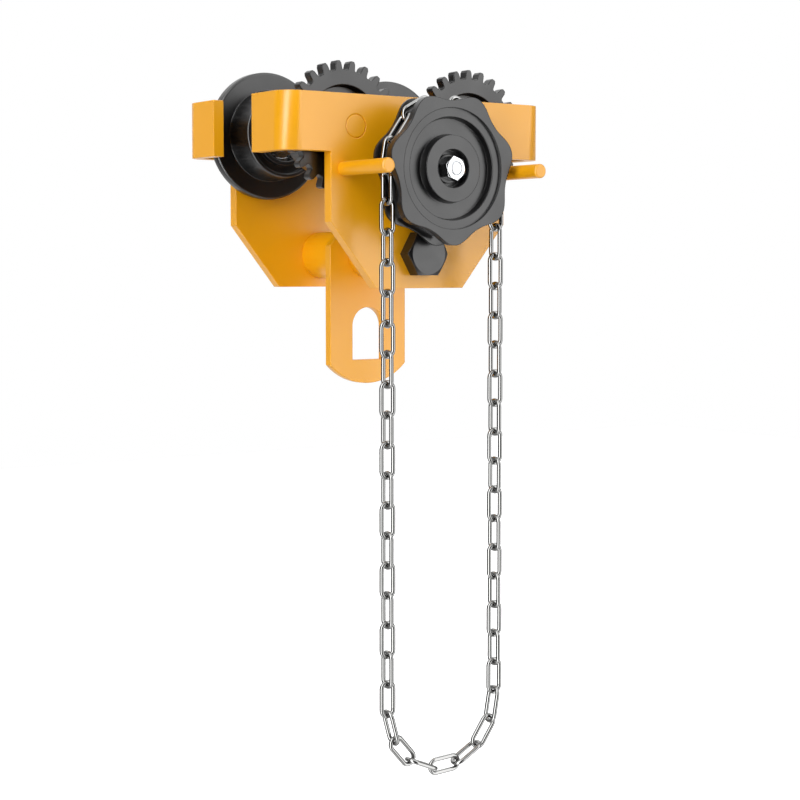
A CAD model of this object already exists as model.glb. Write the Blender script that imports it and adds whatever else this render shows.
# Looks of a geared monorail trolley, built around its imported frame
import math

import bpy
from mathutils import Euler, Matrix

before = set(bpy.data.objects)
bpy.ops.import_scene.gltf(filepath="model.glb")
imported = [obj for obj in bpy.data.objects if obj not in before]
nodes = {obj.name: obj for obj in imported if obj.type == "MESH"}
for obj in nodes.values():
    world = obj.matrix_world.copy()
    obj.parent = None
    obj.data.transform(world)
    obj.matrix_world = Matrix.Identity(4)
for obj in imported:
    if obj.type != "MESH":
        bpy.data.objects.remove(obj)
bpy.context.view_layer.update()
mm = 0.001
print("frame loaded:", len(nodes), "nodes")

# Camera: a long lens at the height of the load bolt, looking past the left end of the front plate

cameraPlace = {
    "location": (-0.8935, -1.3257, -0.0786),
    "turn": (85.818, 0, -35.074),  # degrees
    "lens": 80.73,
    "sensor": 36,
    "farLimit": 60,
}


def makeCamera(place):
    data = bpy.data.cameras.new("photoCamera")
    data.lens = place["lens"]
    data.sensor_width = place["sensor"]
    data.clip_end = place["farLimit"]
    camera = bpy.data.objects.new("photoCamera", data)
    camera.location = place["location"]
    camera.rotation_euler = Euler([math.radians(a) for a in place["turn"]])
    bpy.context.collection.objects.link(camera)
    bpy.context.scene.camera = camera


makeCamera(cameraPlace)
bpy.context.scene.view_settings.view_transform = "Standard"


# Shader helpers. Inputs go by the socket's name, or by its number where several share a name:
# Math and Vector Math count their values from 0, and Mix has its factor at 0, its plain values
# at 2 and 3, its vectors at 4 and 5, and its colours at 6 and 7

def colour(code):  # sRGB hex to the linear values that sockets take
    parts = [int(code[i:i + 2], 16) / 255 for i in (1, 3, 5)]
    return [p / 12.92 if p <= 0.04045 else ((p + 0.055) / 1.055) ** 2.4 for p in parts] + [1]


def addNode(tree, kind, inputs=None, **settings):
    node = tree.nodes.new("ShaderNode" + kind)
    for name, value in settings.items():
        setattr(node, name, value)
    for name, value in (inputs or {}).items():
        if isinstance(value, bpy.types.NodeSocket):
            tree.links.new(value, node.inputs[name])
        else:
            node.inputs[name].default_value = value
    return node


def startMaterial(name):
    material = bpy.data.materials.new(name)
    material.use_nodes = True
    material.node_tree.nodes.clear()
    return material, material.node_tree


# Shading of edges, and the span that most of a noise lies in
shading = {
    "bevelSamples": 8,
    "flatMatch": 0.995,  # cosines between the eased normal and the true one
    "sharpMatch": 0.8,
    "noiseLow": 0.3,
    "noiseHigh": 0.7,
}


def edgeMask(tree, eased):  # 1 on sharp edges, fading to 0 where eased and true normal meet
    flat = addNode(tree, "NewGeometry")
    match = addNode(tree, "VectorMath", {0: eased.outputs[0], 1: flat.outputs["Normal"]},
                    operation="DOT_PRODUCT")
    return addNode(tree, "MapRange", {
        "Value": match.outputs["Value"],
        "From Min": shading["flatMatch"], "From Max": shading["sharpMatch"],
        "To Min": 0.0, "To Max": 1.0,
    }).outputs[0]


# Paints: a pigment with slow patches, fine orange peel or casting grain, and a thinner film on
# edges. Sizes, widths and depths are in millimetres

paintWear = {
    "roughnessSwing": 0.03,  # up and down from one patch to the next
    "edgePolish": 0.08,  # how much smoother the edges are rubbed
}


def paintFinish(name, look):
    material, tree = startMaterial(name)
    place = addNode(tree, "TexCoord").outputs["Object"]
    patches = addNode(tree, "TexNoise", {
        "Vector": place, "Scale": 1 / (look["patchSize"] * mm), "Detail": 3.0,
    })
    grain = addNode(tree, "TexNoise", {
        "Vector": place, "Scale": 1 / (look["grainSize"] * mm), "Detail": 4.0,
        "Roughness": look["grainRoughness"],
    })
    eased = addNode(tree, "Bevel", {"Radius": look["edgeWidth"] * mm},
                    samples=shading["bevelSamples"])
    edges = edgeMask(tree, eased)
    body = addNode(tree, "Mix", {
        0: patches.outputs[0], 6: colour(look["pigment"]), 7: colour(look["patch"]),
    }, data_type="RGBA")
    chipped = addNode(tree, "Math", {0: edges, 1: grain.outputs[0]}, operation="MULTIPLY")
    thin = addNode(tree, "Math", {0: chipped.outputs[0], 1: look["edgeShare"]},
                   operation="MULTIPLY")
    film = addNode(tree, "Mix", {
        0: thin.outputs[0], 6: body.outputs[2], 7: colour(look["edge"]),
    }, data_type="RGBA")
    gloss = addNode(tree, "MapRange", {
        "Value": patches.outputs[0],
        "From Min": shading["noiseLow"], "From Max": shading["noiseHigh"],
        "To Min": look["roughness"] - paintWear["roughnessSwing"],
        "To Max": look["roughness"] + paintWear["roughnessSwing"],
    })
    worn = addNode(tree, "Math", {0: edges, 1: -paintWear["edgePolish"], 2: gloss.outputs[0]},
                   operation="MULTIPLY_ADD")
    relief = addNode(tree, "Bump", {
        "Height": grain.outputs[0], "Distance": look["grainDepth"] * mm, "Strength": 1.0,
        "Normal": eased.outputs[0],
    })
    shader = addNode(tree, "BsdfPrincipled", {
        "Base Color": film.outputs[2], "Roughness": worn.outputs[0], "IOR": look["ior"],
        "Specular IOR Level": look["specular"], "Normal": relief.outputs[0],
    })
    if look["edgeDull"]:  # on black finishes the edges catch less light than the faces
        shine = addNode(tree, "MapRange", {
            "Value": edges,
            "To Min": look["specular"], "To Max": look["specular"] * (1 - look["edgeDull"]),
        })
        tree.links.new(shine.outputs[0], shader.inputs["Specular IOR Level"])
    addNode(tree, "OutputMaterial", {"Surface": shader.outputs[0]})
    return material


# Sprayed machine enamel on mild steel: warm yellow, satin, with fine orange peel
yellowEnamel = {
    "pigment": "#EBA403", "patch": "#E69F02", "patchSize": 60,
    "edge": "#F4B030", "edgeShare": 0.3, "edgeWidth": 0.9, "edgeDull": 0.0,
    "grainSize": 1.4, "grainRoughness": 0.4, "grainDepth": 0.005,
    "roughness": 0.32, "ior": 1.5, "specular": 0.8,
}

# Black enamel baked on iron castings: near black under a satin sheen, with the mould's sand
# showing through
blackEnamel = {
    "pigment": "#0C0C0D", "patch": "#09090A", "patchSize": 25,
    "edge": "#2A2A2C", "edgeShare": 0.2, "edgeWidth": 1.1, "edgeDull": 0.9,
    "grainSize": 0.9, "grainRoughness": 0.6, "grainDepth": 0.008,
    "roughness": 0.32, "ior": 1.5, "specular": 0.8,
}

# Black oxide on forged steel: a thin conversion layer, smoother than paint, that rubs paler on
# corners
blackOxide = {
    "pigment": "#0F0F10", "patch": "#0B0B0C", "patchSize": 12,
    "edge": "#3A3A3D", "edgeShare": 0.3, "edgeWidth": 0.9, "edgeDull": 0.7,
    "grainSize": 0.5, "grainRoughness": 0.5, "grainDepth": 0.006,
    "roughness": 0.32, "ior": 1.5, "specular": 0.8,
}


# Bare metals: slow clouding under the tool's fine lines, which run in rings about the Y axis. The
# drive turns within 5 mm of it, and on pieces further off the rings pass as slightly curved lines

metalWear = {
    "roughnessSwing": 0.25,  # share of the roughness, up and down
    "grime": "#161616",  # what settles along the edges
}


def metalFinish(name, look):
    material, tree = startMaterial(name)
    place = addNode(tree, "TexCoord").outputs["Object"]
    parts = addNode(tree, "SeparateXYZ", {0: place})
    across = addNode(tree, "CombineXYZ", {0: parts.outputs[0], 2: parts.outputs[2]})
    radius = addNode(tree, "VectorMath", {0: across.outputs[0]}, operation="LENGTH")
    turned = addNode(tree, "CombineXYZ", {0: radius.outputs["Value"], 1: parts.outputs[1]})
    lines = addNode(tree, "TexNoise", {
        "Vector": turned.outputs[0], "Scale": 1 / (look["lineSize"] * mm), "Detail": 2.0,
    })
    clouds = addNode(tree, "TexNoise", {
        "Vector": place, "Scale": 1 / (look["cloudSize"] * mm), "Detail": 4.0,
    })
    body = addNode(tree, "Mix", {
        0: clouds.outputs[0], 6: colour(look["metal"]), 7: colour(look["cloud"]),
    }, data_type="RGBA")
    mixed = addNode(tree, "Mix", {0: 0.5, 2: lines.outputs[0], 3: clouds.outputs[0]})
    rough = addNode(tree, "MapRange", {
        "Value": mixed.outputs[0],
        "From Min": shading["noiseLow"], "From Max": shading["noiseHigh"],
        "To Min": look["roughness"] * (1 - metalWear["roughnessSwing"]),
        "To Max": look["roughness"] * (1 + metalWear["roughnessSwing"]),
    })
    relief = addNode(tree, "Bump", {
        "Height": lines.outputs[0], "Distance": look["lineDepth"] * mm, "Strength": 1.0,
    })
    if look["edgeWidth"]:
        eased = addNode(tree, "Bevel", {"Radius": look["edgeWidth"] * mm},
                        samples=shading["bevelSamples"])
        tree.links.new(eased.outputs[0], relief.inputs["Normal"])
        held = addNode(tree, "Math", {0: edgeMask(tree, eased), 1: look["grimeShare"]},
                       operation="MULTIPLY")
        body = addNode(tree, "Mix", {
            0: held.outputs[0], 6: body.outputs[2], 7: colour(metalWear["grime"]),
        }, data_type="RGBA")
    shader = addNode(tree, "BsdfPrincipled", {
        "Base Color": body.outputs[2], "Metallic": 1.0, "Roughness": rough.outputs[0],
        "Normal": relief.outputs[0],
    })
    addNode(tree, "OutputMaterial", {"Surface": shader.outputs[0]})
    return material


# Polished steel chain wire: mirror bright, with faint drawing marks, coarser than real ones so that
# they show from near by
polishedWire = {
    "metal": "#9D9D9C", "cloud": "#8E8E8D", "cloudSize": 6,
    "lineSize": 0.6, "lineDepth": 0.0003, "roughness": 0.03,
    "edgeWidth": 0,  # round wire has no edges
}

# Bright zinc plate on the nut, washers and pin: pale silver, slightly clouded
zincPlate = {
    "metal": "#F4F5F6", "cloud": "#E2E5E8", "cloudSize": 3,
    "lineSize": 0.4, "lineDepth": 0.002, "roughness": 0.22,
    "edgeWidth": 0.4, "grimeShare": 0.5,
}

# Turned mild steel of the pinion and its shaft: grey, with the feed lines of the lathe
turnedSteel = {
    "metal": "#C6C8CB", "cloud": "#B4B6B9", "cloudSize": 8,
    "lineSize": 0.3, "lineDepth": 0.004, "roughness": 0.32,
    "edgeWidth": 0.8, "grimeShare": 1.0,
}

# Ground bearing steel: hard and a little dark from oil, its grinding lines drawn coarser than real
bearingSteel = {
    "metal": "#A3A5A8", "cloud": "#939598", "cloudSize": 5,
    "lineSize": 0.2, "lineDepth": 0.001, "roughness": 0.16,
    "edgeWidth": 0.3, "grimeShare": 0.5,
}

# Bush bronze: warm brown gold, dulled by oil
bushBronze = {
    "metal": "#B58A4C", "cloud": "#97703A", "cloudSize": 6,
    "lineSize": 0.3, "lineDepth": 0.003, "roughness": 0.3,
    "edgeWidth": 0.3, "grimeShare": 0.5,
}

finishes = {
    "yellow_enamel": paintFinish("sprayedYellowEnamel", yellowEnamel),
    "black_enamel": paintFinish("bakedBlackEnamel", blackEnamel),
    "black_oxide": paintFinish("blackOxide", blackOxide),
    "polished_chain": metalFinish("polishedSteelWire", polishedWire),
    "zinc_plate": metalFinish("brightZincPlate", zincPlate),
    "turned_steel": metalFinish("turnedSteel", turnedSteel),
    "bearing_steel": metalFinish("groundBearingSteel", bearingSteel),
    "bronze": metalFinish("bushBronze", bushBronze),
}

# The washer deep in the wheel's hub is black in the photograph, and circlips are sold blackened
for name, node in nodes.items():
    blackened = name == "hub_washer" or name.endswith("circlip")
    slot = "black_oxide" if blackened else node.data.materials[0].name
    node.data.materials.clear()
    node.data.materials.append(finishes[slot])
print("finishes set:", len(finishes))

# Eased edges: what grinding, casting or paint leaves on a corner, widths in millimetres

easedEdges = {
    0.8: ["hand_chain_wheel"],
    0.7: ["front_side_plate", "rear_side_plate"],
    0.5: ["hanger_plate", "pinion_boss"],
    0.4: ["front_left_geared_wheel", "front_right_geared_wheel",
          "rear_left_plain_wheel", "rear_right_plain_wheel"],
    0.3: ["front_spacer_tube", "rear_spacer_tube", "hub_nut", "adjusting_washers"],
    0.25: ["pinion_shaft"],
}

edgeRules = {
    "weldGap": 0.001,  # millimetres
    "flatAngle": 0.5,  # degrees, under which neighbouring triangles make one face
    "easedAngle": 32,  # degrees, over which an edge is eased
    "segments": 2,
}


def easeEdges(piece, width, rules):
    weld = piece.modifiers.new("joinedTriangles", "WELD")
    weld.merge_threshold = rules["weldGap"] * mm
    flats = piece.modifiers.new("wholeFaces", "DECIMATE")
    flats.decimate_type = "DISSOLVE"
    flats.angle_limit = math.radians(rules["flatAngle"])
    bevel = piece.modifiers.new("easedEdges", "BEVEL")
    bevel.width = width * mm
    bevel.segments = rules["segments"]
    bevel.limit_method = "ANGLE"
    bevel.angle_limit = math.radians(rules["easedAngle"])
    bevel.harden_normals = True


for width, names in easedEdges.items():
    for name in names:
        easeEdges(nodes[name], width, edgeRules)
print("edges eased:", sum(len(names) for names in easedEdges.values()), "pieces")

# Studio: a pale floor well below the hanging part and white surroundings. Gloss shows a bright
# wall to the right of the camera, a narrow bright strip to the left of it, and dark between

studio = {
    "floorHeight": -0.95,
    "floorSize": 12,
    "floorColour": "#F4F4F4",
    "floorSpeck": "#F0F0F0",
    "speckSize": 25,  # millimetres
    "floorGlow": 0.8,
    "ambient": 0.04,
    "above": 1.2,  # what gloss shows overhead and underneath
    "below": 0.7,
    "capStart": 0.4,  # heights as sines, where these begin and where they are full
    "capFull": 0.8,
    "wallPeak": 6.5,
    "wallFade": 0.6,  # heights as sines, between which the wall dims to its top share
    "wallTop": 0.85,
    "topShare": 0.4,
    "mattShare": 1.06,  # how much more of the wall matt surfaces get than mirrors
    # bearing from -X towards -Y in degrees, brightness in the mirror
    "wall": [(-180, 0.4), (-120, 1.0), (-75, 0.6), (-58, 0.4), (-42, 0.2), (-28, 0.04),
             (12, 0.04), (19, 6.5), (40, 6.5), (46, 0.02), (106, 0.02), (116, 2.8),
             (136, 2.8), (150, 0.3), (180, 0.3)],
}


def makeFloor(look):
    bpy.ops.mesh.primitive_plane_add(size=look["floorSize"], location=(0, 0, look["floorHeight"]))
    floor = bpy.context.object
    floor.name = "paleFloor"
    floor.visible_glossy = False
    material, tree = startMaterial("paleFloorPaint")
    rays = addNode(tree, "LightPath")
    seen = addNode(tree, "Math", {0: rays.outputs["Is Camera Ray"], 1: look["floorGlow"]},
                   operation="MULTIPLY")
    place = addNode(tree, "TexCoord").outputs["Object"]
    speck = addNode(tree, "TexNoise", {"Vector": place, "Scale": 1 / (look["speckSize"] * mm)})
    matt = addNode(tree, "Mix", {
        0: speck.outputs[0], 6: colour(look["floorColour"]), 7: colour(look["floorSpeck"]),
    }, data_type="RGBA")
    flat = addNode(tree, "BsdfDiffuse", {"Color": matt.outputs[2]})
    glow = addNode(tree, "Emission", {"Color": colour("#FFFFFF"), "Strength": seen.outputs[0]})
    both = addNode(tree, "AddShader", {0: flat.outputs[0], 1: glow.outputs[0]})
    addNode(tree, "OutputMaterial", {"Surface": both.outputs[0]})
    floor.data.materials.append(material)


def wallByBearing(tree, parts, look):  # brightness as a share of the wall's peak
    bearing = addNode(tree, "Math", {0: parts.outputs[1], 1: parts.outputs[0]}, operation="ARCTAN2")
    along = addNode(tree, "MapRange", {
        "Value": bearing.outputs[0], "From Min": -math.pi, "From Max": math.pi,
    })
    ramp = addNode(tree, "ValToRGB", {0: along.outputs[0]})
    stops = [((angle + 180) / 360, [bright / look["wallPeak"]] * 3 + [1])
             for angle, bright in look["wall"]]
    ends = ramp.color_ramp.elements
    ends[0].position, ends[0].color = stops[0]
    ends[1].position, ends[1].color = stops[-1]
    for position, grey in stops[1:-1]:
        ends.new(position).color = grey
    return ramp.outputs[0]


def makeSurroundings(look):
    world = bpy.data.worlds.new("whiteStudio")
    world.use_nodes = True
    bpy.context.scene.world = world
    tree = world.node_tree
    tree.nodes.clear()
    rays = addNode(tree, "LightPath")
    gloss = rays.outputs["Is Glossy Ray"]
    away = addNode(tree, "VectorMath", {
        0: addNode(tree, "TexCoord").outputs["Generated"], 1: [-1, -1, 1],
    }, operation="MULTIPLY")
    parts = addNode(tree, "SeparateXYZ", {0: away.outputs[0]})
    rise = parts.outputs[2]
    # The wall round the part, dimmer towards its top and foot
    height = addNode(tree, "Math", {0: rise}, operation="ABSOLUTE")
    band = addNode(tree, "MapRange", {
        "Value": height.outputs[0], "From Min": look["wallFade"], "From Max": look["wallTop"],
        "To Min": look["wallPeak"], "To Max": look["wallPeak"] * look["topShare"],
    })
    share = addNode(tree, "MapRange", {"Value": gloss, "To Min": look["mattShare"], "To Max": 1.0})
    level = addNode(tree, "Math", {0: band.outputs[0], 1: share.outputs[0]}, operation="MULTIPLY")
    wall = addNode(tree, "VectorMath", {
        0: wallByBearing(tree, parts, look), "Scale": level.outputs[0],
    }, operation="SCALE")
    # Overhead and underneath for gloss, and an even fill for matt surfaces
    over = addNode(tree, "MapRange", {
        "Value": rise, "From Min": look["capStart"], "From Max": look["capFull"],
        "To Max": look["above"],
    })
    under = addNode(tree, "MapRange", {
        "Value": rise, "From Min": -look["capStart"], "From Max": -look["capFull"],
        "To Max": look["below"],
    })
    caps = addNode(tree, "Math", {0: over.outputs[0], 1: under.outputs[0]}, operation="ADD")
    dim = addNode(tree, "Mix", {
        0: gloss, 4: [look["ambient"]] * 3, 5: caps.outputs[0],
    }, data_type="VECTOR")
    lit = addNode(tree, "VectorMath", {0: wall.outputs[0], 1: dim.outputs[1]}, operation="ADD")
    # The camera itself sees plain white
    seen = addNode(tree, "Mix", {
        0: rays.outputs["Is Camera Ray"], 4: lit.outputs[0], 5: [1, 1, 1],
    }, data_type="VECTOR")
    back = addNode(tree, "Background", {"Color": seen.outputs[1], "Strength": 1.0})
    addNode(tree, "OutputWorld", {"Surface": back.outputs[0]})


makeFloor(studio)
makeSurroundings(studio)
print("studio lit by a wall of", len(studio["wall"]), "steps")
